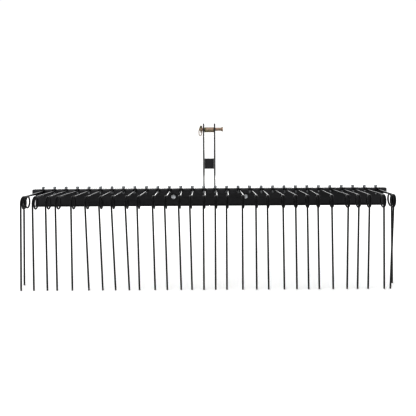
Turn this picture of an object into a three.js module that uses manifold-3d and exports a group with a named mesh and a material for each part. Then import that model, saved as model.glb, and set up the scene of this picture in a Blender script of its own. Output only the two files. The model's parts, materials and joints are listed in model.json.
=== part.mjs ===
// Spring-tine lawn dethatcher for a three-point hitch.
// Millimetres. +X along the beam, +Y towards the tractor, +Z up, tine tips at z = 0.
import * as THREE from 'three';
import { mergeVertices } from 'three/addons/utils/BufferGeometryUtils.js';
import Module from 'manifold-3d';

const wasm = await Module();
wasm.setup();

// Driving dimensions
const GAP = 0.3;                       // clearance between pieces that touch
const BOLT_Y = 108.35;                 // bolt row, so that the middle of the whole is y = 0
const BEAM = { length: 1813.8, top: 422, wall: 4.76, lipY: -22, webY: 28, lip: 24, web: 92.5, foot: 14, drain: 6, boltHole: 5.2 };
const GUIDE = { left: 8, right: 15, sill: 3.2, intoTop: 9 };   // slot through lip and fold, for a tine's arm
const TINES = { count: 30, pitch: 59.2, wire: 3.5, reach: 305, coil: 27.8, eye: 8.75, arm: 5.5, drift: 9.1, rise: 8.7 };
const END_TINE = { reach: 226, drop: 7.4, sideways: [-11, 2] };
const MAST = { halfGap: 25.4, wall: 6.35, depth: 57, bottom: 332, top: 756, round: 20 };
const SPACER = { bottom: 520, top: 572, front: 3, wall: 9.5 };
const PLATE = { half: 244.2, bottom: 338, top: 406, wall: 6.35 };
const TOP_PIN = { radius: 7.94, left: -51, headX: 65, head: 7.5, headRadius: 12, y: 62, z: 726, inset: 8 };
const SLEEVE = { outer: 12.7, inner: 11.2, half: 25, hang: 2.8 };
const LINCHPIN = { radius: 3.1, bore: 3.5, below: 18, above: 19, head: 5.5, eyeUp: 13.5, eye: 2.7 };
const RING = { radius: 24, wire: 1.7, tilt: THREE.MathUtils.degToRad(6), turn: THREE.MathUtils.degToRad(21) };
const LOWER = {
  shoulder: 254, lug: 9.5, round: 26, y: 62, z: 364, radius: 7.94, collar: 16, collarLong: 8, thread: 28, end: 334, inset: 12,
};
const HITCH_BOLT = { x: 187, z: 377, radius: 7.94, flats: 23.8, head: 9.7, nut: 14, end: 54 };
// How far use has bent each tine sideways: at its coil, then from the coil to its tip.
const BENT = [
  [4, 0], [-2, 5], [-2, 7], [-17, 7], [-5, 5], [-1, 17], [3, 17], [0, 19], [4, 18], [-1, 10],
  [10, 11], [6, 11], [10, 11], [2, 9], [5, 1], [0, 0], [-8, 0], [5, 0], [7, 2], [0, 4],
  [12, 4], [10, 4], [4, 4], [-7, 4], [-3, 4], [13, -8], [2, -9], [-9, -9], [-3, -1], [-17, -18],
];

// Derived places
const UNDER_FLANGE = BEAM.top - BEAM.wall;
const WEB_BACK = BEAM.webY;
const WEB_FRONT = BEAM.webY - BEAM.wall;
const PLATE_FRONT = WEB_BACK + GAP;
const PLATE_BACK = PLATE_FRONT + PLATE.wall;
const MAST_FRONT = PLATE_BACK + GAP;
const ARM_Z = UNDER_FLANGE - GAP - TINES.wire;
const FIRST_BOLT_X = -TINES.pitch * (TINES.count - 1) / 2;

const finishes = {
  black_paint: new THREE.MeshStandardMaterial({ color: 0x17171a, roughness: 0.3, metalness: 0 }),
  tine_paint: new THREE.MeshStandardMaterial({ color: 0x2a2a2d, roughness: 0.35, metalness: 0.2 }),
  yellow_zinc: new THREE.MeshStandardMaterial({ color: 0xb79a5a, roughness: 0.3, metalness: 1 }),
  bright_zinc: new THREE.MeshStandardMaterial({ color: 0xc3c6c9, roughness: 0.3, metalness: 1 }),
};

// Boolean helpers
function solid(geometry) {
  const bare = geometry.clone();
  bare.deleteAttribute('normal');
  bare.deleteAttribute('uv');
  const merged = mergeVertices(bare, 1e-4);
  return new wasm.Manifold(new wasm.Mesh({
    numProp: 3,
    vertProperties: new Float32Array(merged.attributes.position.array),
    triVerts: new Uint32Array(merged.index.array),
  }));
}

function geometryOf(manifold) {
  const mesh = manifold.getMesh();
  const geometry = new THREE.BufferGeometry();
  geometry.setAttribute('position', new THREE.BufferAttribute(new Float32Array(mesh.vertProperties), 3));
  geometry.setIndex(new THREE.BufferAttribute(new Uint32Array(mesh.triVerts), 1));
  geometry.computeVertexNormals();
  return geometry;
}

function cut(base, tools) {
  let result = solid(base);
  for (const tool of tools) result = result.subtract(solid(tool));
  return geometryOf(result);
}

function join(pieces) {
  let result = solid(pieces[0]);
  for (const piece of pieces.slice(1)) result = result.add(solid(piece));
  return result;
}

// Shape helpers
function block(x0, x1, y0, y1, z0, z1) {
  const box = new THREE.BoxGeometry(x1 - x0, y1 - y0, z1 - z0);
  return box.translate((x0 + x1) / 2, (y0 + y1) / 2, (z0 + z1) / 2);
}

// A round or many-sided bar from one end to the other along X, Y or Z.
function bar(axis, radius, from, to, centre, sides = 16, endRadius = radius) {
  const cylinder = new THREE.CylinderGeometry(endRadius, radius, Math.abs(to - from), sides);
  cylinder.rotateY(Math.PI / sides);
  const middle = (from + to) / 2;
  if (axis === 'x') return cylinder.rotateZ(-Math.PI / 2).translate(middle, centre[0], centre[1]);
  if (axis === 'y') return cylinder.translate(centre[0], middle, centre[1]);
  return cylinder.rotateX(Math.PI / 2).translate(centre[0], centre[1], middle);
}

function hexRadius(flats) {
  return flats / Math.sqrt(3);
}

// An outline drawn in Y and Z, extruded along X.
function plateAlongX(shape, x0, x1) {
  const geometry = new THREE.ExtrudeGeometry(shape, { depth: x1 - x0, bevelEnabled: false, curveSegments: 5 });
  const turn = new THREE.Matrix4().makeBasis(
    new THREE.Vector3(0, 1, 0), new THREE.Vector3(0, 0, 1), new THREE.Vector3(1, 0, 0));
  return geometry.applyMatrix4(turn).translate(x0, 0, 0);
}

// A wire that is swept through given stations, with the tangent known at each one.
class StationPath extends THREE.Curve {
  constructor(points, tangents) {
    super();
    this.points = points;
    this.tangents = tangents;
  }

  station(u) {
    return Math.round(u * (this.points.length - 1));
  }

  getPoint(u) {
    return this.points[this.station(u)].clone();
  }

  getPointAt(u) {
    return this.getPoint(u);
  }

  getTangentAt(u) {
    return this.tangents[this.station(u)].clone();
  }

  getSpacedPoints() {
    return this.points.map((point) => point.clone());
  }
}

function sweepWire(points, tangents, radius, sides) {
  const section = new THREE.Shape();
  for (let i = 0; i < sides; i += 1) {
    const angle = 2 * Math.PI * i / sides;
    const x = radius * Math.cos(angle);
    const y = radius * Math.sin(angle);
    if (i === 0) section.moveTo(x, y);
    else section.lineTo(x, y);
  }
  const extrudePath = new StationPath(points, tangents);
  return new THREE.ExtrudeGeometry(section, { steps: points.length - 1, bevelEnabled: false, extrudePath });
}

// Pieces
// The folded beam as its four walls, so that each one collides as the plain plate it is.
function beamWalls() {
  const { top, wall, lipY, webY, lip, web, foot, length } = BEAM;
  const end = length / 2;
  const low = top - web;
  const boltHoles = [];
  const topSlots = [];
  const lipSlots = [];
  for (let i = 0; i < TINES.count; i += 1) {
    const x = FIRST_BOLT_X + i * TINES.pitch;
    const from = x - GUIDE.left;
    const to = x + GUIDE.right;
    boltHoles.push(bar('z', BEAM.boltHole, UNDER_FLANGE - 2, top + 2, [x, 0], 8));
    topSlots.push(block(from, to, lipY - 2, lipY + GUIDE.intoTop, UNDER_FLANGE - 2, top + 2));
    lipSlots.push(block(from, to, lipY - 2, lipY + wall + 2, top - lip + GUIDE.sill, top));
  }
  const hitchHoles = [-1, 1].map((side) => bar('y', HITCH_BOLT.radius + 0.4, WEB_FRONT - 2, webY + 2,
    [side * HITCH_BOLT.x, HITCH_BOLT.z]));
  const drain = new THREE.BoxGeometry(BEAM.drain, wall * 8, BEAM.drain).rotateY(Math.PI / 4);
  drain.translate(0, webY - wall, low);
  return {
    top: cut(block(-end, end, lipY, WEB_FRONT - GAP, UNDER_FLANGE, top), boltHoles.concat(topSlots)),
    lip: cut(block(-end, end, lipY, lipY + wall, top - lip, UNDER_FLANGE - GAP), lipSlots),
    web: cut(block(-end, end, WEB_FRONT, webY, low, top), hitchHoles.concat([drain])),
    foot: cut(block(-end, end, WEB_FRONT - foot, WEB_FRONT - GAP, low, low + wall), [drain]),
  };
}

// A tine about its bolt at x = 0, y = 0: eye, arm, coil and leg in one wire.
function tine(reach, armZ, lean) {
  const { wire, coil, eye, arm, drift, rise } = TINES;
  const points = [];
  const tangents = [];
  const topZ = armZ + rise;
  const add = (x, y, z, dx, dy, dz) => {
    const sideways = lean * Math.min(1, Math.max(0, armZ - z) / armZ);
    points.push(new THREE.Vector3(x + sideways, y, z));
    tangents.push(new THREE.Vector3(dx, dy, dz).normalize());
  };
  const eyeSteps = 6;
  for (let i = 0; i <= eyeSteps; i += 1) {
    const angle = -1.5 * Math.PI * (1 - i / eyeSteps);
    add(eye * Math.cos(angle), -eye * Math.sin(angle), armZ, -Math.sin(angle), -Math.cos(angle), 0);
  }
  const coilY = -reach + coil;
  add(arm, BEAM.lipY - 4, armZ, 0, -1, 0.01);
  const coilSteps = 12;
  const turn = 2.5 * Math.PI;
  for (let i = 0; i <= coilSteps; i += 1) {
    const angle = turn * i / coilSteps;
    const x = arm - drift * i / coilSteps;
    add(x, coilY - coil * Math.sin(angle), topZ - coil + coil * Math.cos(angle),
      0, -Math.cos(angle), -Math.sin(angle));
  }
  add(arm - drift, -reach, 0, 0, 0, -1);
  return sweepWire(points, tangents, wire, 6);
}

function mastPlate(side) {
  const back = MAST_FRONT + MAST.depth;
  const shape = new THREE.Shape();
  shape.moveTo(MAST_FRONT, MAST.bottom);
  shape.lineTo(back, MAST.bottom);
  shape.lineTo(back, MAST.top - MAST.round);
  shape.absarc(back - MAST.round, MAST.top - MAST.round, MAST.round, 0, Math.PI / 2, false);
  shape.absarc(MAST_FRONT + MAST.round, MAST.top - MAST.round, MAST.round, Math.PI / 2, Math.PI, false);
  const inner = side * MAST.halfGap;
  const outer = side * (MAST.halfGap + MAST.wall);
  const plate = plateAlongX(shape, Math.min(inner, outer), Math.max(inner, outer));
  const hole = bar('x', TOP_PIN.radius + 0.5, Math.min(inner, outer) - 2, Math.max(inner, outer) + 2,
    [TOP_PIN.y, TOP_PIN.z]);
  return cut(plate, [hole]);
}

function mastSpacer() {
  const half = MAST.halfGap - GAP;
  const front = MAST_FRONT + SPACER.front;
  return block(-half, half, front, front + SPACER.wall, SPACER.bottom, SPACER.top);
}

function hitchBackPlate() {
  const plate = block(-PLATE.half, PLATE.half, PLATE_FRONT, PLATE_BACK, PLATE.bottom, PLATE.top);
  const holes = [-1, 1].map((side) => bar('y', HITCH_BOLT.radius + 0.4, PLATE_FRONT - 2, PLATE_BACK + 2,
    [side * HITCH_BOLT.x, HITCH_BOLT.z]));
  return cut(plate, holes);
}

function lowerLug(side) {
  const { round } = LOWER;
  const shape = new THREE.Shape();
  shape.moveTo(PLATE_FRONT, LOWER.z - round);
  shape.lineTo(LOWER.y, LOWER.z - round);
  shape.absarc(LOWER.y, LOWER.z, round, -Math.PI / 2, Math.PI / 2, false);
  shape.lineTo(PLATE_FRONT, PLATE.top);
  const inner = LOWER.shoulder - LOWER.lug;
  const x0 = side < 0 ? -LOWER.shoulder : inner;
  const plate = plateAlongX(shape, x0, x0 + LOWER.lug);
  return cut(plate, [bar('x', LOWER.radius + 0.4, x0 - 2, x0 + LOWER.lug + 2, [LOWER.y, LOWER.z])]);
}

function lowerPin(side) {
  const centre = [LOWER.y, LOWER.z];
  const collarStart = LOWER.shoulder + GAP;
  const rod = bar('x', LOWER.radius, side * (LOWER.shoulder - LOWER.thread), side * LOWER.end, centre);
  const collar = bar('x', LOWER.collar, side * collarStart, side * (collarStart + LOWER.collarLong), centre);
  const bore = bar('z', LINCHPIN.bore, LOWER.z - 12, LOWER.z + 12, [side * (LOWER.end - LOWER.inset), LOWER.y], 12);
  return geometryOf(join([rod, collar]).subtract(solid(bore)));
}

function nutOnX(side) {
  const from = side * (LOWER.shoulder - LOWER.lug - GAP);
  const hex = bar('x', hexRadius(HITCH_BOLT.flats), from, from - side * HITCH_BOLT.nut, [LOWER.y, LOWER.z], 6);
  const bore = bar('x', LOWER.radius + GAP, from + side * 2, from - side * (HITCH_BOLT.nut + 2),
    [LOWER.y, LOWER.z]);
  return cut(hex, [bore]);
}

function hitchBolt(x) {
  const centre = [x, HITCH_BOLT.z];
  const seat = WEB_FRONT - GAP;
  const head = bar('y', hexRadius(HITCH_BOLT.flats), seat - HITCH_BOLT.head, seat, centre, 6);
  const shank = bar('y', HITCH_BOLT.radius, seat - 1, HITCH_BOLT.end, centre);
  return geometryOf(join([head, shank]));
}

function hitchNut(x) {
  const seat = PLATE_BACK + GAP;
  const centre = [x, HITCH_BOLT.z];
  const hex = bar('y', hexRadius(HITCH_BOLT.flats), seat, seat + HITCH_BOLT.nut, centre, 6);
  const bore = bar('y', HITCH_BOLT.radius + GAP, seat - 2, seat + HITCH_BOLT.nut + 2, centre);
  return cut(hex, [bore]);
}

function topPin() {
  const centre = [TOP_PIN.y, TOP_PIN.z];
  const rod = bar('x', TOP_PIN.radius, TOP_PIN.left, TOP_PIN.headX + 1, centre);
  const head = bar('x', TOP_PIN.headRadius, TOP_PIN.headX, TOP_PIN.headX + TOP_PIN.head, centre);
  const bore = bar('z', LINCHPIN.bore, TOP_PIN.z - 12, TOP_PIN.z + 12, [TOP_PIN.left + TOP_PIN.inset, TOP_PIN.y], 12);
  return geometryOf(join([rod, head]).subtract(solid(bore)));
}

function topSleeve() {
  const centre = [TOP_PIN.y, TOP_PIN.z - SLEEVE.hang];
  const tube = bar('x', SLEEVE.outer, -SLEEVE.half, SLEEVE.half, centre);
  return cut(tube, [bar('x', SLEEVE.inner, -SLEEVE.half - 2, SLEEVE.half + 2, centre)]);
}

// A pin dropped through a hitch pin's cross hole, about that hitch pin's centre.
function linchpin(side) {
  const { radius, below, above, head, eyeUp, eye } = LINCHPIN;
  const seat = TOP_PIN.radius + GAP;
  const shank = bar('z', radius, -below + 4, seat + 1, [0, 0], 12);
  const tip = bar('z', radius * 0.5, -below, -below + 4, [0, 0], 12, radius);
  const cap = bar('z', head, seat, above, [0, 0], 12);
  const cross = bar('y', eye, -head - 2, head + 2, [0, eyeUp], 10).rotateZ(-side * RING.turn);
  return geometryOf(join([shank, tip, cap]).subtract(solid(cross)));
}

function linchpinRing(side) {
  const torus = new THREE.TorusGeometry(RING.radius, RING.wire, 6, 18);
  torus.rotateY(Math.PI / 2).translate(0, 0, -RING.radius);
  return torus.rotateY(-side * RING.tilt).rotateZ(-side * RING.turn).translate(0, 0, LINCHPIN.eyeUp);
}

// Assembly
const dethatcher = new THREE.Group();
dethatcher.position.y = BOLT_Y;

function place(name, geometry, finish, parent = dethatcher) {
  const mesh = new THREE.Mesh(geometry, finishes[finish]);
  mesh.name = name;
  parent.add(mesh);
  return mesh;
}

function placeTine(name, x, reach, armZ, sideways, lean) {
  const mesh = place(name, tine(reach, armZ, lean), 'tine_paint');
  mesh.position.x = x;
  mesh.rotation.z = Math.atan2(sideways, reach);
}

function placeLinchpin(prefix, side, x, y, z) {
  const group = new THREE.Group();
  group.position.set(x, y, z);
  dethatcher.add(group);
  place(`${prefix}_linchpin`, linchpin(side), 'yellow_zinc', group);
  place(`${prefix}_linchpin_ring`, linchpinRing(side), 'yellow_zinc', group);
}

for (const [wall, geometry] of Object.entries(beamWalls())) place(`main_beam_${wall}`, geometry, 'black_paint');
BENT.forEach(([sideways, lean], i) => {
  const name = `tine_${String(i + 1).padStart(2, '0')}`;
  placeTine(name, FIRST_BOLT_X + i * TINES.pitch, TINES.reach, ARM_Z, sideways, lean);
});
END_TINE.sideways.forEach((sideways, end) => {
  const x = end === 0 ? FIRST_BOLT_X : -FIRST_BOLT_X;
  placeTine(`end_tine_${['left', 'right'][end]}`, x, END_TINE.reach, ARM_Z - END_TINE.drop, sideways, 0);
});

place('mast_spacer', mastSpacer(), 'black_paint');
place('hitch_back_plate', hitchBackPlate(), 'black_paint');
for (const [hand, side] of [['left', -1], ['right', 1]]) {
  place(`mast_plate_${hand}`, mastPlate(side), 'black_paint');
  place(`lower_hitch_lug_${hand}`, lowerLug(side), 'black_paint');
  place(`lower_hitch_pin_${hand}`, lowerPin(side), 'yellow_zinc');
  place(`lower_hitch_pin_nut_${hand}`, nutOnX(side), 'bright_zinc');
  place(`hitch_bolt_${hand}`, hitchBolt(side * HITCH_BOLT.x), 'bright_zinc');
  place(`hitch_bolt_nut_${hand}`, hitchNut(side * HITCH_BOLT.x), 'bright_zinc');
  placeLinchpin(`lower_${hand}`, side, side * (LOWER.end - LOWER.inset), LOWER.y, LOWER.z);
}
place('top_link_pin', topPin(), 'yellow_zinc');
place('top_link_sleeve', topSleeve(), 'yellow_zinc');
placeLinchpin('top', -1, TOP_PIN.left + TOP_PIN.inset, TOP_PIN.y, TOP_PIN.z);

export default dethatcher;
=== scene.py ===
"""Looks of the spring-tine dethatcher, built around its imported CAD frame. Metres, +Z up."""
import json
import math

import bmesh
import bpy
from mathutils import Matrix, Vector


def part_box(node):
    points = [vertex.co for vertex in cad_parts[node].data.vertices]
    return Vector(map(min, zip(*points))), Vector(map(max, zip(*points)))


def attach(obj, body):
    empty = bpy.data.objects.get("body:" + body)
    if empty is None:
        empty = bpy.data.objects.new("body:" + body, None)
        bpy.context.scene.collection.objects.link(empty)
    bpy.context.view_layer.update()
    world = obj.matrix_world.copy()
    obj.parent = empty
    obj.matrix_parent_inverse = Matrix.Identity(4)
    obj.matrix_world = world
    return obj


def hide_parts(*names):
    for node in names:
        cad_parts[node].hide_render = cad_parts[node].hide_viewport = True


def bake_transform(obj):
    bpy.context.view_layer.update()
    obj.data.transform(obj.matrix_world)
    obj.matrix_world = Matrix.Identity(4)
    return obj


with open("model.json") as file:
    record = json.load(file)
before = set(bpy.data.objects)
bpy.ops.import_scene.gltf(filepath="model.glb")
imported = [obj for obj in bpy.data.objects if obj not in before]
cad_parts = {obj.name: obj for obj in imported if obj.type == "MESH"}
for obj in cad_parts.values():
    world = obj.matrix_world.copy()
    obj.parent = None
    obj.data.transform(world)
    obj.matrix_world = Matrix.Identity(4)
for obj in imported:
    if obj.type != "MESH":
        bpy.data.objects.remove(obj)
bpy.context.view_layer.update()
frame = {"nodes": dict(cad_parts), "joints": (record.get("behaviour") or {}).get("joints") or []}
MM = 0.001
joints = {joint["child"]: joint for joint in frame["joints"]}

# Sizes that the frame's boxes don't give, in metres. A round one is a radius.
# The beam's folded sheet, its bolt holes and the slots that the arms pass
WALL = 4.76 * MM
FOLD = 8 * MM
LIP_HEIGHT = 24 * MM
FOOT_DEPTH = 14 * MM
NOTCH_HALF = 3 * MM
BOLT_INSET = 22 * MM
BOLT_HOLE = 5.2 * MM
GUIDE_OFFSET = 3.5 * MM
GUIDE_HALF = 11.5 * MM
GUIDE_SILL = 3.2 * MM
GUIDE_INTO_TOP = 9 * MM
# The tines: their wire, coil and eye, and how the arm rises and stands beside its bolt
WIRE = 3.5 * MM
COIL = 27.8 * MM
EYE = 8.75 * MM
ARM = 5.5 * MM
DRIFT = 9.1 * MM
RISE = 8.7 * MM
REACH = {"tine": 305 * MM, "end": 226 * MM}
TINE_COUNT = 30
TINE_PITCH = 59.2 * MM
# The hitch: 5/8 in pins and bolts, their holes, and where their linchpins go through
PIN = 7.94 * MM
PIN_HOLE = 8.4 * MM
MAST_HOLE = 8.44 * MM
PIN_FLATS = 23.8 * MM
PIN_BEHIND_BOLTS = 62 * MM
CROSS_BORE = 3.5 * MM
LOWER_PIN_END = 12 * MM
TOP_PIN_END = 8 * MM
THREAD_GAP = 0.1 * MM
# Softened edges, and the tools that cut holes
SOFT_EDGE = 0.6 * MM
WIDE_EDGE = 0.7 * MM
TOOL_PAST = 3 * MM
TOOL_CHAMFER = 0.1 * MM
CROSS_REACH = 12 * MM


# Meshes
def new_object(name, verts, faces):
    mesh = bpy.data.meshes.new(name)
    mesh.from_pydata([tuple(v) for v in verts], [], faces)
    mesh.validate()
    obj = bpy.data.objects.new(name, mesh)
    bpy.context.scene.collection.objects.link(obj)
    work = bmesh.new()
    work.from_mesh(mesh)
    bmesh.ops.recalc_face_normals(work, faces=work.faces)
    work.to_mesh(mesh)
    work.free()
    return obj


def smooth(obj, degrees=35):
    for face in obj.data.polygons:
        face.use_smooth = True
    obj.data.set_sharp_from_angle(angle=math.radians(degrees))
    return obj


def apply_modifiers(obj):
    graph = bpy.context.evaluated_depsgraph_get()
    mesh = bpy.data.meshes.new_from_object(obj.evaluated_get(graph))
    obj.modifiers.clear()
    obj.data = mesh
    return obj


def cut(obj, tools, operation="DIFFERENCE"):
    group = bpy.data.collections.new("tools")
    for tool in tools:
        group.objects.link(tool)
    modifier = obj.modifiers.new("cut", "BOOLEAN")
    modifier.operation = operation
    modifier.solver = "EXACT"
    modifier.operand_type = "COLLECTION"
    modifier.collection = group
    bpy.context.view_layer.update()
    apply_modifiers(obj)
    for tool in tools:
        bpy.data.objects.remove(tool)
    bpy.data.collections.remove(group)
    return obj


def soften(obj, width=SOFT_EDGE, segments=2):
    modifier = obj.modifiers.new("soft_edges", "BEVEL")
    modifier.width = width
    modifier.segments = segments
    modifier.limit_method = "ANGLE"
    modifier.angle_limit = math.radians(40)
    return smooth(apply_modifiers(obj))


def axes_of(letter):
    """The axis and two more that make a right-handed set with it."""
    order = {"x": (0, 1, 2), "y": (1, 2, 0), "z": (2, 0, 1)}[letter]
    return [Vector([1.0 if i == k else 0.0 for i in range(3)]) for k in order]


def skin(rings, sides, closed=False):
    """Faces between rings of vertices, with a cap at each end unless the last ring joins the first."""
    faces = []
    for ring in range(rings if closed else rings - 1):
        low, high = ring * sides, (ring + 1) % rings * sides
        for k in range(sides):
            after = (k + 1) % sides
            faces.append((low + k, low + after, high + after, high + k))
    if not closed:
        faces.append(tuple(range(sides)))
        faces.append(tuple(range((rings - 1) * sides, rings * sides)))
    return faces


def circle(place, first, second, radius, sides):
    """Points around place, in the plane of two directions."""
    turns = [2 * math.pi * k / sides for k in range(sides)]
    return [place + (first * (radius * math.cos(turn)) + second * (radius * math.sin(turn))) for turn in turns]


def lathe(name, profile, letter, centre, steps=40):
    """A turned piece from (along, radius) pairs; its ends close on the axis unless it closes on itself."""
    along, side, up = axes_of(letter)
    closed = profile[0] == profile[-1]
    rows = profile[:-1] if closed else profile
    verts = []
    for distance, radius in rows:
        verts += circle(Vector(centre) + along * distance, side, up, radius, steps)
    return new_object(name, verts, skin(len(rows), steps, closed))


def rod(name, letter, radius, start, end, centre, chamfer=0.8 * MM, steps=40):
    low, high = min(start, end), max(start, end)
    profile = [(low, radius - chamfer), (low + chamfer, radius),
               (high - chamfer, radius), (high, radius - chamfer)]
    return lathe(name, profile, letter, centre, steps)


def threaded_profile(start, end, radius, pitch=1.6 * MM, depth=0.7 * MM):
    """Crests and roots of a thread from start to end, with a chamfered end."""
    turns = int((end - start) / pitch)
    profile = []
    for turn in range(turns):
        profile.append((start + turn * pitch, radius))
        profile.append((start + (turn + 0.5) * pitch, radius - depth))
    profile.append((start + turns * pitch, radius - depth))
    profile.append((end, radius - 1.4 * depth))
    return profile


def rounded(corners, steps=5):
    """An outline with each corner (a, b, radius) turned into an arc."""
    points = []
    for i, (a, b, radius) in enumerate(corners):
        corner = Vector((a, b))
        back = (Vector(corners[i - 1][:2]) - corner).normalized()
        ahead = (Vector(corners[(i + 1) % len(corners)][:2]) - corner).normalized()
        half = back.angle(ahead) / 2
        centre = corner + (back + ahead).normalized() * (radius / math.sin(half))
        first = corner + back * (radius / math.tan(half)) - centre
        last = corner + ahead * (radius / math.tan(half)) - centre
        sweep = first.angle(last)
        for k in range(steps + 1):
            share = k / steps
            mix = first * math.sin((1 - share) * sweep) + last * math.sin(share * sweep)
            points.append(centre + mix / math.sin(sweep))
    return points


def plate(name, letter, outline, low, high):
    """An outline extruded along an axis, from low to high."""
    along, side, up = axes_of(letter)
    count = len(outline)
    verts = [along * level + side * p[0] + up * p[1] for level in (low, high) for p in outline]
    faces = [tuple(range(count)), tuple(range(count, 2 * count))]
    faces += [(k, (k + 1) % count, count + (k + 1) % count, count + k) for k in range(count)]
    return new_object(name, verts, faces)


def block(name, low, high):
    corners = [(low[1], low[2]), (high[1], low[2]), (high[1], high[2]), (low[1], high[2])]
    return plate(name, "x", corners, low[0], high[0])


def hole(letter, radius, low, high, centre):
    """A tool that drills from low to high and a little past both."""
    return rod("hole", letter, radius, low - TOOL_PAST, high + TOOL_PAST, centre, TOOL_CHAMFER)


def cross_bore(x, z):
    """A tool that drills a pin at (x, z) for its linchpin."""
    return rod("bore", "z", CROSS_BORE, z - CROSS_REACH, z + CROSS_REACH, (x, PIN_Y, 0))


def sweep_wire(name, points, radius, sides=14, chamfer=0.9 * MM):
    """A round wire along points, with its frame carried along without twist."""
    count = len(points)
    tangents = [(points[min(i + 1, count - 1)] - points[max(i - 1, 0)]).normalized() for i in range(count)]
    normal = tangents[0].cross(Vector((0, 0, 1))).normalized()
    first = points[0] + tangents[0] * chamfer
    last = points[-1] - tangents[-1] * chamfer
    stations = [(points[0], tangents[0], radius - chamfer), (first, tangents[0], radius)]
    stations += [(points[i], tangents[i], radius) for i in range(1, count - 1)]
    stations += [(last, tangents[-1], radius), (points[-1], tangents[-1], radius - chamfer)]
    verts = []
    for place, tangent, size in stations:
        normal = (normal - tangent * normal.dot(tangent)).normalized()
        verts += circle(place, normal, tangent.cross(normal), size, sides)
    return smooth(new_object(name, verts, skin(len(stations), sides)), 50)


def hexagon(name, letter, flats, low, high, centre, bore=None, both_ends=False):
    """A hexagonal head or nut with its corners turned off, and a bore if it is a nut."""
    corner = flats / math.sqrt(3)
    outline = [(corner * math.cos(k * math.pi / 3), corner * math.sin(k * math.pi / 3)) for k in range(6)]
    piece = plate(name, letter, outline, low, high)
    piece.data.transform(Matrix.Translation(Vector(centre)))
    slope, clear = 0.078 * flats, 1.1 * corner
    base = (low, 0.93 * corner) if both_ends else (low, clear)
    turned = [base, (low + slope, clear), (high - slope, clear), (high, 0.84 * corner)]
    cut(piece, [lathe("turned", turned, letter, centre)], "INTERSECT")
    if bore:
        past = 10 * MM
        cut(piece, [rod("bore", letter, bore, low - past, high + past, centre)])
    return soften(piece, 0.25 * MM, 1)


def weld(name, start, end, size, out, pitch=4 * MM, sides=10):
    """A rippled bead along a seam from start to end, flattened at both ends."""
    start, end, out = Vector(start), Vector(end), Vector(out).normalized()
    rings_per_ripple = 4
    count = int((end - start).length / pitch) * rings_per_ripple
    side = (end - start).normalized().cross(out).normalized()
    verts = []
    for i in range(count + 1):
        ripple = 1 + 0.12 * abs(math.sin(math.pi * i / rings_per_ripple))
        taper = 0.5 if i in (0, count) else 0
        wander = 0.06 * math.sin(i * 0.9) + 0.05 * math.sin(i * 2.3)
        radius = size * (ripple - taper + wander)
        verts += circle(start.lerp(end, i / count), out, side, radius, sides)
    return smooth(new_object(name, verts, skin(count + 1, sides)), 60)


# Materials
def material(name, color, roughness, metallic=0.0, coat=0.0):
    made = bpy.data.materials.new(name)
    made.use_nodes = True
    shader = made.node_tree.nodes["Principled BSDF"]
    shader.inputs["Base Color"].default_value = (*color, 1)
    shader.inputs["Roughness"].default_value = roughness
    shader.inputs["Metallic"].default_value = metallic
    shader.inputs["Coat Weight"].default_value = coat
    shader.inputs["Coat Roughness"].default_value = 0.12
    return made, made.node_tree, shader


def noise(tree, scale, detail=4.0, stretch=(1, 1, 1)):
    where = tree.nodes.new("ShaderNodeTexCoord")
    mapping = tree.nodes.new("ShaderNodeMapping")
    mapping.inputs["Scale"].default_value = stretch
    texture = tree.nodes.new("ShaderNodeTexNoise")
    texture.inputs["Scale"].default_value = scale
    texture.inputs["Detail"].default_value = detail
    tree.links.new(where.outputs["Object"], mapping.inputs["Vector"])
    tree.links.new(mapping.outputs["Vector"], texture.inputs["Vector"])
    return texture.outputs["Fac"]


def ramp(tree, value, stops):
    node = tree.nodes.new("ShaderNodeValToRGB")
    elements = node.color_ramp.elements
    while len(elements) < len(stops):
        elements.new(0.5)
    for element, (place, color) in zip(elements, stops):
        element.position = place
        element.color = (*color, 1)
    tree.links.new(value, node.inputs["Fac"])
    return node.outputs["Color"]


def grey(value):
    return (value, value, value)


def bump(tree, shader, value, strength, distance):
    node = tree.nodes.new("ShaderNodeBump")
    node.inputs["Strength"].default_value = strength
    node.inputs["Distance"].default_value = distance
    tree.links.new(value, node.inputs["Height"])
    tree.links.new(node.outputs["Normal"], shader.inputs["Normal"])


def mix_colors(tree, mask, first, second):
    node = tree.nodes.new("ShaderNodeMix")
    node.data_type = "RGBA"
    tree.links.new(mask, node.inputs["Factor"])
    tree.links.new(first, node.inputs["A"])
    tree.links.new(second, node.inputs["B"])
    return node.outputs["Result"]


def powder_coat():
    made, tree, shader = material("gloss_black_powder_coat", (0.02, 0.02, 0.021), 0.2)
    shader.inputs["Specular IOR Level"].default_value = 0.5
    dust = ramp(tree, noise(tree, 9, 6), [(0.35, (0.036, 0.036, 0.039)), (0.75, (0.05, 0.05, 0.054))])
    scuff = ramp(tree, noise(tree, 55, 8, (0.4, 1, 1)), [(0.7, grey(0)), (0.76, grey(0.35))])
    bare = ramp(tree, noise(tree, 200), [(0.3, (0.04, 0.038, 0.036)), (0.7, (0.08, 0.077, 0.074))])
    tree.links.new(mix_colors(tree, scuff, dust, bare), shader.inputs["Base Color"])
    gloss = ramp(tree, noise(tree, 22, 5), [(0.3, grey(0.14)), (0.7, grey(0.26))])
    tree.links.new(gloss, shader.inputs["Roughness"])
    bump(tree, shader, noise(tree, 900, 2), 0.06, 0.0003)
    return made


def weld_paint():
    made, tree, shader = material("painted_weld", (0.02, 0.02, 0.021), 0.3, coat=0.2)
    # The beads are real welds under the paint, but their grey tone, far lighter than the black paint around
    # them, is a painted highlight for the light their ripples catch.
    tone = ramp(tree, noise(tree, 120), [(0.3, grey(0.1)), (0.7, grey(0.24))])
    tree.links.new(tone, shader.inputs["Base Color"])
    bump(tree, shader, noise(tree, 700, 3), 0.4, 0.0006)
    return made


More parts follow.
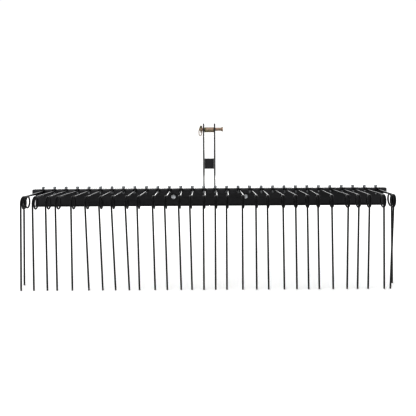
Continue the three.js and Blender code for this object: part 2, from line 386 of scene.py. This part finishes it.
def ragged_height(tree):
    """The height above the ground, made uneven by noise, for the worn tips of the tines."""
    place = tree.nodes.new("ShaderNodeTexCoord")
    split = tree.nodes.new("ShaderNodeSeparateXYZ")
    tree.links.new(place.outputs["Object"], split.inputs["Vector"])
    ragged = tree.nodes.new("ShaderNodeMath")
    ragged.operation = "MULTIPLY_ADD"
    ragged.inputs[1].default_value = 0.03
    tree.links.new(noise(tree, 160, 5), ragged.inputs[0])
    tree.links.new(split.outputs["Z"], ragged.inputs[2])
    return ragged.outputs["Value"]


def tine_paint():
    made, tree, shader = material("black_spring_wire", (0.01, 0.01, 0.011), 0.16)
    shader.inputs["Specular IOR Level"].default_value = 0.35
    tone = ramp(tree, noise(tree, 30, 6), [(0.3, (0.014, 0.014, 0.015)), (0.7, (0.03, 0.03, 0.032))])
    steel = ramp(tree, noise(tree, 300), [(0.3, (0.09, 0.085, 0.08)), (0.7, (0.2, 0.19, 0.18))])
    worn = ramp(tree, ragged_height(tree), [(0.016, grey(0.8)), (0.03, grey(0))])
    tree.links.new(mix_colors(tree, worn, tone, steel), shader.inputs["Base Color"])
    gloss = ramp(tree, noise(tree, 60, 4), [(0.3, grey(0.08)), (0.7, grey(0.2))])
    tree.links.new(gloss, shader.inputs["Roughness"])
    bump(tree, shader, noise(tree, 1200, 2), 0.05, 0.0002)
    return made


def yellow_zinc():
    made, tree, shader = material("yellow_zinc", (0.55, 0.4, 0.2), 0.3, metallic=1.0)
    hues = [(0.3, (0.2, 0.2, 0.13)), (0.45, (0.36, 0.31, 0.24)),
            (0.6, (0.42, 0.31, 0.28)), (0.72, (0.34, 0.33, 0.2))]
    tree.links.new(ramp(tree, noise(tree, 70, 3), hues), shader.inputs["Base Color"])
    gloss = ramp(tree, noise(tree, 240, 4), [(0.3, grey(0.22)), (0.7, grey(0.42))])
    tree.links.new(gloss, shader.inputs["Roughness"])
    bump(tree, shader, noise(tree, 1500, 2), 0.1, 0.0002)
    return made


def bright_zinc():
    made, tree, shader = material("bright_zinc", (0.5, 0.51, 0.52), 0.3, metallic=1.0)
    tone = ramp(tree, noise(tree, 160, 4), [(0.3, (0.36, 0.37, 0.38)), (0.7, (0.6, 0.61, 0.62))])
    tree.links.new(tone, shader.inputs["Base Color"])
    gloss = ramp(tree, noise(tree, 300, 4), [(0.3, grey(0.25)), (0.7, grey(0.45))])
    tree.links.new(gloss, shader.inputs["Roughness"])
    bump(tree, shader, noise(tree, 1500, 2), 0.1, 0.0002)
    return made


LOOKS = {
    "black_paint": powder_coat(),
    "weld": weld_paint(),
    "tine_paint": tine_paint(),
    "yellow_zinc": yellow_zinc(),
    "bright_zinc": bright_zinc(),
}


def dress(obj, look, *nodes):
    """Gives a piece its material and hides the CAD nodes that it replaces."""
    obj.data.materials.clear()
    obj.data.materials.append(LOOKS[look])
    if nodes:
        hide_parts(*nodes)
    return obj


# Camera, floor and light
def make_camera():
    """Stands level on the tine side, with the lens and shift that frame the object as in the photo."""
    focal_px, frame_px = 490, 416
    data = bpy.data.cameras.new("camera")
    data.sensor_width = 36
    data.lens = data.sensor_width * focal_px / frame_px
    data.shift_x = -0.0026
    data.shift_y = -0.197
    camera = bpy.data.objects.new("camera", data)
    camera.location = (0, -2.4227, 0.743)
    camera.rotation_euler = (math.radians(90), math.radians(0.33), 0)
    bpy.context.scene.collection.objects.link(camera)
    bpy.context.scene.camera = camera


def make_softbox(name, place, wide, high, energy):
    light = bpy.data.lights.new(name + "_softbox", "AREA")
    light.shape = "RECTANGLE"
    light.size, light.size_y, light.energy = wide, high, energy
    lamp = bpy.data.objects.new(name + "_softbox", light)
    lamp.location = place
    aim = Vector((0, 0, 0.4)) - lamp.location
    lamp.rotation_euler = aim.to_track_quat("-Z", "Y").to_euler()
    lamp.visible_camera = False
    bpy.context.scene.collection.objects.link(lamp)


def make_studio():
    half = 40
    corners = [(-half, -half, 0), (half, -half, 0), (half, half, 0), (-half, half, 0)]
    floor = new_object("floor", corners, [(0, 1, 2, 3)])
    floor.location.z = -0.5 * MM
    pale, _, shader = material("pale_floor", (0.985, 0.985, 0.985), 0.9)
    shader.inputs["Specular IOR Level"].default_value = 0.1
    floor.data.materials.append(pale)
    world = bpy.data.worlds.new("studio")
    world.use_nodes = True
    background = world.node_tree.nodes["Background"]
    background.inputs["Color"].default_value = (1, 1, 1, 1)
    background.inputs["Strength"].default_value = 1.06
    bpy.context.scene.world = world
    make_softbox("front", (-1.2, -2.2, 3.0), 3, 3, 35)
    # Two strips of light behind it run along the arms' tops, as in the photo
    make_softbox("low_back", (0, 5, 0.62), 8, 0.5, 30)
    make_softbox("high_back", (0, 5, 1.9), 9, 0.9, 38)
    bpy.context.scene.view_settings.view_transform = "Standard"
    bpy.context.scene.view_settings.gamma = 0.6


# The object, placed from the frame's boxes and three places that part.mjs shares
BEAM_WALLS = ("main_beam_top", "main_beam_lip", "main_beam_web", "main_beam_foot")
wall_boxes = [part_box(wall) for wall in BEAM_WALLS]
beam_low = Vector([min(low[axis] for low, _ in wall_boxes) for axis in range(3)])
beam_high = Vector([max(high[axis] for _, high in wall_boxes) for axis in range(3)])
plate_low, plate_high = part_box("hitch_back_plate")
BOLT_Y = beam_low.y + BOLT_INSET
TOP = beam_high.z
UNDER = TOP - WALL
LIP_LOW = TOP - LIP_HEIGHT
WEB_FRONT = beam_high.y - WALL
HITCH_Z = 0.364
PIN_Y = BOLT_Y + PIN_BEHIND_BOLTS
TOP_PIN_Z = 0.726
HITCH_BOLT = Vector((0.187, 0, 0.377))


def bolt_x(index):
    return (index - (TINE_COUNT - 1) / 2) * TINE_PITCH


def guide_tools(x):
    """Tools for the slot that an arm passes, through the lip and its fold."""
    left, right = x + GUIDE_OFFSET - GUIDE_HALF, x + GUIDE_OFFSET + GUIDE_HALF
    bottom, top = LIP_LOW + GUIDE_SILL, UNDER - 0.2 * MM
    corner, past = 5 * MM, 2 * MM
    slot = rounded([(bottom, left, corner), (top, left, corner), (top, right, corner), (bottom, right, corner)])
    return [
        plate("guide", "y", slot, beam_low.y - TOOL_PAST, beam_low.y + WALL + 1 * MM),
        block("guide_top", (left, beam_low.y - past, UNDER - 1 * MM),
              (right, beam_low.y + GUIDE_INTO_TOP, TOP + past)),
    ]


def make_beam():
    back, foot = beam_high.y, WEB_FRONT - FOOT_DEPTH
    lip, lip_inside = beam_low.y, beam_low.y + WALL
    low = beam_low.z
    free, inside = 1.2 * MM, FOLD - WALL
    outline = rounded([
        (lip, LIP_LOW, free), (lip_inside, LIP_LOW, free), (lip_inside, UNDER, inside),
        (WEB_FRONT, UNDER, inside), (WEB_FRONT, low + WALL, inside), (foot, low + WALL, free), (foot, low, free),
        (back, low, FOLD), (back, TOP, FOLD), (lip, TOP, FOLD),
    ])
    beam = plate("main_beam_folded", "x", outline, beam_low.x, beam_high.x)
    tools = []
    for i in range(TINE_COUNT):
        tools.append(hole("z", BOLT_HOLE, UNDER, TOP, (bolt_x(i), BOLT_Y, 0)))
        tools += guide_tools(bolt_x(i))
    for side in (-1, 1):
        tools.append(hole("y", PIN_HOLE, WEB_FRONT, back, (side * HITCH_BOLT.x, 0, HITCH_BOLT.z)))
    reach = 30 * MM
    notch = block("notch", (-NOTCH_HALF, WEB_FRONT - reach, -NOTCH_HALF),
                  (NOTCH_HALF, back + reach, NOTCH_HALF))
    notch.data.transform(Matrix.Translation((0, 0, low)) @ Matrix.Rotation(math.radians(45), 4, "Y"))
    cut(beam, tools + [notch])
    dress(soften(beam, 0.4 * MM), "black_paint", *BEAM_WALLS)
    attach(beam, "frame")


def tine_line(reach, coil_z, arm_z):
    """The centreline of a straight-legged tine around its bolt: eye, arm, coil and leg."""
    eye_steps, arm_steps, coil_steps, leg_steps = 24, 8, 75, 12
    straight, coil_y = -26 * MM, -reach + COIL
    local = []
    for i in range(eye_steps):
        angle = -1.5 * math.pi * (1 - i / eye_steps)
        local.append((EYE * math.cos(angle), -EYE * math.sin(angle), arm_z))
    local += [(EYE, 0, arm_z), ((EYE + ARM) / 2, straight / 2, arm_z)]
    for i in range(arm_steps):
        share = i / arm_steps
        local.append((ARM, straight + (coil_y - straight) * share, arm_z + RISE * share))
    for i in range(coil_steps + 1):
        angle = 2.5 * math.pi * i / coil_steps
        x = ARM - DRIFT * i / coil_steps
        local.append((x, coil_y - COIL * math.sin(angle), coil_z + COIL * math.cos(angle)))
    for i in range(1, leg_steps + 1):
        local.append((ARM - DRIFT, -reach, coil_z * (1 - i / leg_steps)))
    return local


def tine_points(name):
    """The centreline of a tine, from its coil's centre, its yaw and its tip in the frame."""
    joint = joints[name]
    centre = Vector(joint["pos_m"])
    yaw = math.atan2(-joint["axis"][1], -joint["axis"][0])
    turn = Matrix.Rotation(yaw, 3, "Z")
    reach = REACH[name.split("_")[0]]
    arm_z = centre.z + COIL - RISE
    bolt = centre - turn @ Vector((ARM - DRIFT / 2, -reach + COIL, 0))
    tip = [v.co for v in frame["nodes"][name].data.vertices if v.co.z < 1 * MM]
    tip_x = (turn.inverted() @ (sum(tip, Vector()) / len(tip) - bolt)).x
    lean = tip_x - (ARM - DRIFT)
    points = []
    for x, y, z in tine_line(reach, centre.z, arm_z):
        spot = turn @ Vector((x + lean * max(0, arm_z - z) / arm_z, y, 0))
        points.append(Vector((bolt.x + spot.x, bolt.y + spot.y, z)))
    return points, centre, turn


def make_tine(name):
    points, centre, turn = tine_points(name)
    wire = sweep_wire(name + "_wire", points, WIRE)
    dress(wire, "tine_paint", name)
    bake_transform(wire)


def washer_ring(low, high, outer, inner=5 * MM):
    section = [(low, inner), (low, outer), (high, outer), (high, inner), (low, inner)]
    return soften(lathe("washer", section, "z", (0, 0, 0)), 0.2 * MM, 1)


def bolt_set(end_bolt):
    """A tine bolt with its nut and washers, at the origin; an end bolt holds two eyes."""
    flats, radius = 14.3 * MM, 4.76 * MM
    washer, head, collar, nut_height = 1.8 * MM, 6.2 * MM, 5.5 * MM, 8 * MM
    gap, second_eye, overlap = 0.3 * MM, 7.4 * MM, 1 * MM
    seat = UNDER - gap - 2 * WIRE - (second_eye if end_bolt else 0) - 0.2 * MM
    nut_low = seat - 2 * washer - nut_height
    head_low = TOP + collar + washer
    bolt = hexagon("bolt", "z", flats, head_low, head_low + head, (0, 0, 0))
    thread_top = seat - overlap
    shank = [(head_low + overlap, radius), (thread_top, radius)]
    shank += [(thread_top - d, r) for d, r in threaded_profile(0, seat - nut_low + 2 * MM, radius)]
    cut(bolt, [smooth(lathe("shank", shank, "z", (0, 0, 0), 28))], "UNION")
    nut = hexagon("nut", "z", flats, nut_low, nut_low + nut_height, (0, 0, 0), radius + THREAD_GAP, True)
    pieces = {
        "tine_bolt": smooth(bolt),
        "tine_nut": nut,
        "tine_washer": washer_ring(TOP + collar, head_low, 8.6 * MM),
        "tine_bolt_collar": washer_ring(TOP, TOP + collar, 6.2 * MM),
        "tine_lock_washer": washer_ring(seat - 2 * washer, seat, 8 * MM),
    }
    for piece in pieces.values():
        dress(piece, "bright_zinc")
    return pieces


def make_tine_bolts():
    for end_bolt in (False, True):
        pieces = bolt_set(end_bolt)
        for i in range(TINE_COUNT):
            if (i in (0, TINE_COUNT - 1)) != end_bolt:
                continue
            for label, template in pieces.items():
                copy = bpy.data.objects.new(f"{label}_{i + 1:02d}", template.data)
                bpy.context.scene.collection.objects.link(copy)
                copy.location = (bolt_x(i), BOLT_Y, 0)
                if label in ("tine_bolt", "tine_nut"):
                    # Each one is tightened to its own angle
                    copy.rotation_euler.z = math.radians(47 * i % 60)
                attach(copy, "frame")
        for template in pieces.values():
            bpy.data.objects.remove(template)


def make_mast_plate(hand):
    low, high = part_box("mast_plate_" + hand)
    corner, foot = 20 * MM, 3 * MM
    outline = rounded([(low.y, low.z, foot), (high.y, low.z, foot), (high.y, high.z, corner),
                       (low.y, high.z, corner)], 12)
    piece = plate(f"mast_plate_{hand}_cut", "x", outline, low.x, high.x)
    cut(piece, [hole("x", MAST_HOLE, low.x, high.x, (0, PIN_Y, TOP_PIN_Z))])
    dress(soften(piece, WIDE_EDGE), "black_paint", "mast_plate_" + hand)
    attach(piece, "frame")


def make_mast_welds(side, hand):
    low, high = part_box("mast_plate_" + hand)
    spacer_low, spacer_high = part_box("mast_spacer")
    inner, outer = (low.x, high.x) if side > 0 else (high.x, low.x)
    short, above_foot, lifted = 2 * MM, 4 * MM, 0.5 * MM
    seams = [
        ("spacer_front", inner, spacer_low.y, spacer_low.z + short, spacer_high.z - short,
         5 * MM, (-side, -1, 0)),
        ("plate_foot", outer, plate_high.y + lifted, plate_low.z + above_foot, plate_high.z - short,
         3.2 * MM, (side, 1, 0)),
    ]
    for label, x, y, bottom, top, size, out in seams:
        bead = weld(f"weld_{label}_{hand}", (x, y, bottom), (x, y, top), size, out)
        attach(dress(bead, "weld"), "frame")


def make_mast():
    for side, hand in ((-1, "left"), (1, "right")):
        make_mast_plate(hand)
        make_mast_welds(side, hand)
    low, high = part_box("mast_spacer")
    spacer = soften(block("mast_spacer_bar", low, high), 0.8 * MM)
    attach(dress(spacer, "black_paint", "mast_spacer"), "frame")


def make_lug(side, hand):
    low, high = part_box("lower_hitch_lug_" + hand)
    round_off, foot, drop = 25 * MM, 2 * MM, 16 * MM
    outline = rounded([(low.y, low.z, foot), (high.y, low.z, round_off), (high.y, high.z - drop, round_off),
                       (low.y, high.z, foot)], 12)
    lug = plate(f"lower_hitch_lug_{hand}_cut", "x", outline, low.x, high.x)
    cut(lug, [hole("x", PIN_HOLE, low.x, high.x, (0, PIN_Y, HITCH_Z))])
    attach(dress(soften(lug, WIDE_EDGE), "black_paint", "lower_hitch_lug_" + hand), "frame")
    seam_x, short = low.x if side > 0 else high.x, 3 * MM
    bead = weld("weld_lug_" + hand, (seam_x, plate_high.y, low.z + short),
                (seam_x, plate_high.y, high.z - short), 3 * MM, (-side, 1, 0))
    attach(dress(bead, "weld"), "frame")


def make_hitch():
    low, high = plate_low, plate_high
    back = block("hitch_back_plate_cut", low, high)
    cut(back, [hole("y", PIN_HOLE, low.y, high.y, (side * HITCH_BOLT.x, 0, HITCH_BOLT.z)) for side in (-1, 1)])
    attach(dress(soften(back, WIDE_EDGE), "black_paint", "hitch_back_plate"), "frame")
    for side, hand in ((-1, "left"), (1, "right")):
        make_lug(side, hand)
        make_lower_pin(side, hand)
        make_hitch_bolt(side, hand)


def make_lower_pin(side, hand):
    low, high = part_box("lower_hitch_pin_" + hand)
    inner, outer = (low.x, high.x) if side > 0 else (high.x, low.x)
    collar, thickness, edge, tip = 16 * MM, 8 * MM, 1 * MM, 1.5 * MM
    thread_rows, half_pitch, depth = 30, 0.8 * MM, 0.7 * MM
    collar_in = 254.3 * MM
    collar_out = collar_in + thickness
    profile = [(inner, PIN - edge)]
    for k in range(thread_rows):
        profile.append((inner + side * (k + 1) * half_pitch, PIN - (depth if k % 2 else 0)))
    profile += [(side * collar_in, PIN), (side * collar_in, collar - edge),
                (side * (collar_in + edge), collar), (side * (collar_out - edge), collar),
                (side * collar_out, collar - edge), (side * collar_out, PIN),
                (outer - side * tip, PIN), (outer, PIN - tip)]
    linchpin_x = outer - side * LOWER_PIN_END
    pin = lathe(f"lower_hitch_pin_{hand}_turned", profile, "x", (0, PIN_Y, HITCH_Z))
    cut(pin, [cross_bore(linchpin_x, HITCH_Z)])
    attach(dress(smooth(pin), "yellow_zinc", "lower_hitch_pin_" + hand), "frame")
    low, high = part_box("lower_hitch_pin_nut_" + hand)
    nut = hexagon(f"lower_hitch_pin_nut_{hand}_hex", "x", PIN_FLATS, low.x, high.x, (0, PIN_Y, HITCH_Z),
                  PIN + THREAD_GAP, True)
    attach(dress(nut, "bright_zinc", "lower_hitch_pin_nut_" + hand), "frame")
    make_linchpin(f"lower_{hand}", side, Vector((linchpin_x, PIN_Y, HITCH_Z)), "frame")


def make_hitch_bolt(side, hand):
    low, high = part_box("hitch_bolt_" + hand)
    centre = Vector((side * HITCH_BOLT.x, 0, HITCH_BOLT.z))
    head, overlap, plain = 9.7 * MM, 1 * MM, 14 * MM
    bolt = hexagon(f"hitch_bolt_{hand}_hex", "y", PIN_FLATS, -low.y - head, -low.y, centre)
    half_turn = Matrix.Rotation(math.pi, 4, "Z")
    bolt.data.transform(Matrix.Translation(centre) @ half_turn @ Matrix.Translation(-centre))
    thread = threaded_profile(WEB_FRONT + plain, high.y, PIN)
    shank = smooth(lathe("shank", [(low.y + head - overlap, PIN)] + thread, "y", centre, 32))
    cut(bolt, [shank], "UNION")
    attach(dress(smooth(bolt), "bright_zinc", "hitch_bolt_" + hand), "frame")
    low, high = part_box("hitch_bolt_nut_" + hand)
    nut = hexagon(f"hitch_bolt_nut_{hand}_hex", "y", PIN_FLATS, low.y, high.y, centre, PIN + THREAD_GAP, True)
    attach(dress(nut, "bright_zinc", "hitch_bolt_nut_" + hand), "frame")


def make_linchpin(prefix, side, centre, body):
    """A linchpin through a pin at centre, with its ring hanging from a hole in its head."""
    low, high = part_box(prefix + "_linchpin")
    seat, eye_z = centre.z + 8.24 * MM, centre.z + 13.5 * MM
    radius, cap, edge, dome = 3.1 * MM, 5.3 * MM, 0.8 * MM, 2 * MM
    profile = [(low.z, 1.2 * MM), (low.z + 1 * MM, 2 * MM), (low.z + 4 * MM, radius), (seat, radius),
               (seat, cap - edge), (seat + edge, cap), (high.z - dome, cap), (high.z, cap - dome)]
    pin = lathe(prefix + "_linchpin_turned", profile, "z", (centre.x, centre.y, 0))
    turned = Matrix.Rotation(-side * math.radians(21), 4, "Z")
    cross = rod("cross", "y", 2.6 * MM, -20 * MM, 20 * MM, (0, 0, 0))
    cross.data.transform(Matrix.Translation((centre.x, centre.y, eye_z)) @ turned)
    cut(pin, [cross])
    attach(dress(smooth(pin), "yellow_zinc", prefix + "_linchpin"), body)
    tilt = math.radians(6)
    down = turned.to_3x3() @ Vector((side * math.sin(tilt), 0, -math.cos(tilt)))
    across = turned.to_3x3() @ Vector((0, 1, 0))
    make_ring(prefix, Vector((centre.x, centre.y, eye_z)), down, across)


def make_ring(prefix, eye, down, across):
    """A wire ring that hangs from the eye in the plane of down and across."""
    steps, sides, radius, thick = 72, 14, 24 * MM, 1.7 * MM
    middle = eye + down * radius
    normal = down.cross(across)
    verts = []
    for i in range(steps):
        angle = 2 * math.pi * i / steps
        out = down * math.cos(angle) + across * math.sin(angle)
        verts += circle(middle + out * radius, out, normal, thick, sides)
    ring = smooth(new_object(prefix + "_linchpin_ring_wire", verts, skin(steps, sides, closed=True)), 60)
    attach(dress(ring, "yellow_zinc", prefix + "_linchpin_ring"), prefix + "_linchpin_ring")


def make_top_pin():
    low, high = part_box("top_link_pin")
    head, tip = 12 * MM, 2 * MM
    neck = high.x - 7.5 * MM
    profile = [(low.x, PIN - tip), (low.x + tip, PIN), (neck, PIN), (neck + 0.4 * MM, head - 2.5 * MM),
               (neck + 4 * MM, head), (high.x - 1 * MM, head), (high.x, head - 1.2 * MM)]
    linchpin_x = low.x + TOP_PIN_END
    pin = lathe("top_link_pin_turned", profile, "x", (0, PIN_Y, TOP_PIN_Z), 48)
    cut(pin, [cross_bore(linchpin_x, TOP_PIN_Z)])
    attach(dress(smooth(pin), "yellow_zinc", "top_link_pin"), "top_link_pin")
    low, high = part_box("top_link_sleeve")
    inner, outer, edge = 11.2 * MM, 12.7 * MM, 0.5 * MM
    tube = [(low.x, inner), (low.x, outer - edge), (low.x + edge, outer), (high.x - edge, outer),
            (high.x, outer - edge), (high.x, inner), (low.x, inner)]
    sleeve = smooth(lathe("top_link_sleeve_turned", tube, "x", (0, PIN_Y, (low.z + high.z) / 2), 48))
    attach(dress(sleeve, "yellow_zinc", "top_link_sleeve"), "top_link_sleeve")
    make_linchpin("top", -1, Vector((linchpin_x, PIN_Y, TOP_PIN_Z)), "top_link_pin")


make_camera()
make_studio()
make_beam()
for tine_name in sorted(n for n in frame["nodes"] if "tine_" in n):
    make_tine(tine_name)
make_tine_bolts()
make_mast()
make_hitch()
make_top_pin()
